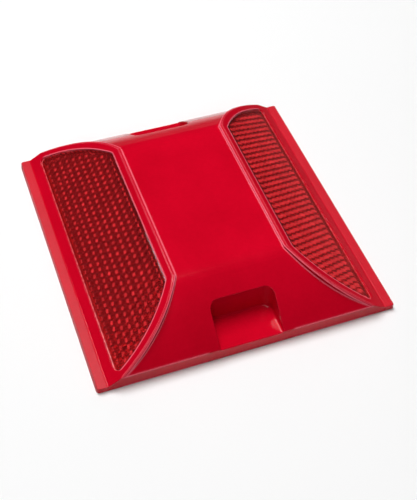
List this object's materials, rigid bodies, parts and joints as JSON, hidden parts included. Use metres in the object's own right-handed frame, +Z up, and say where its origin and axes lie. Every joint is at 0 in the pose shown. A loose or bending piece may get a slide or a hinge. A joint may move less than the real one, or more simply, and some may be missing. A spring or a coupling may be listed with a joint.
{
  "type": "raised pavement marker",
  "caption": "Square low plastic road marker with sloping prismatic lenses facing both ways, convex ends and finger notches.",
  "frame": {"origin": "centre of the flat bottom face that is bonded to the road", "axes": "+X and -X are the directions of traffic that the two lenses face, Y runs along the ridge, +Z is up"},
  "size_m": [0.1016, 0.1016, 0.02],
  "materials": {
    "housing_plastic": "glossy red moulded plastic",
    "lens_acrylic": "polished red acrylic with corner-cube prisms moulded in its back",
    "bond_adhesive": "cured red adhesive",
    "backing_plastic": "matte dark red plastic",
    "filling_resin": "cast resin with mineral filler",
    "grit": "coarse mineral grit set in resin"
  },
  "bodies": {
    "root": {"housing": "housing_plastic", "lens_right": "lens_acrylic", "lens_left": "lens_acrylic", "lens_bond_right": "bond_adhesive", "lens_bond_left": "bond_adhesive", "backing_plate_right": "backing_plastic", "backing_plate_left": "backing_plastic", "filling": "filling_resin", "base_grit": "grit"}
  },
  "joints": []
}
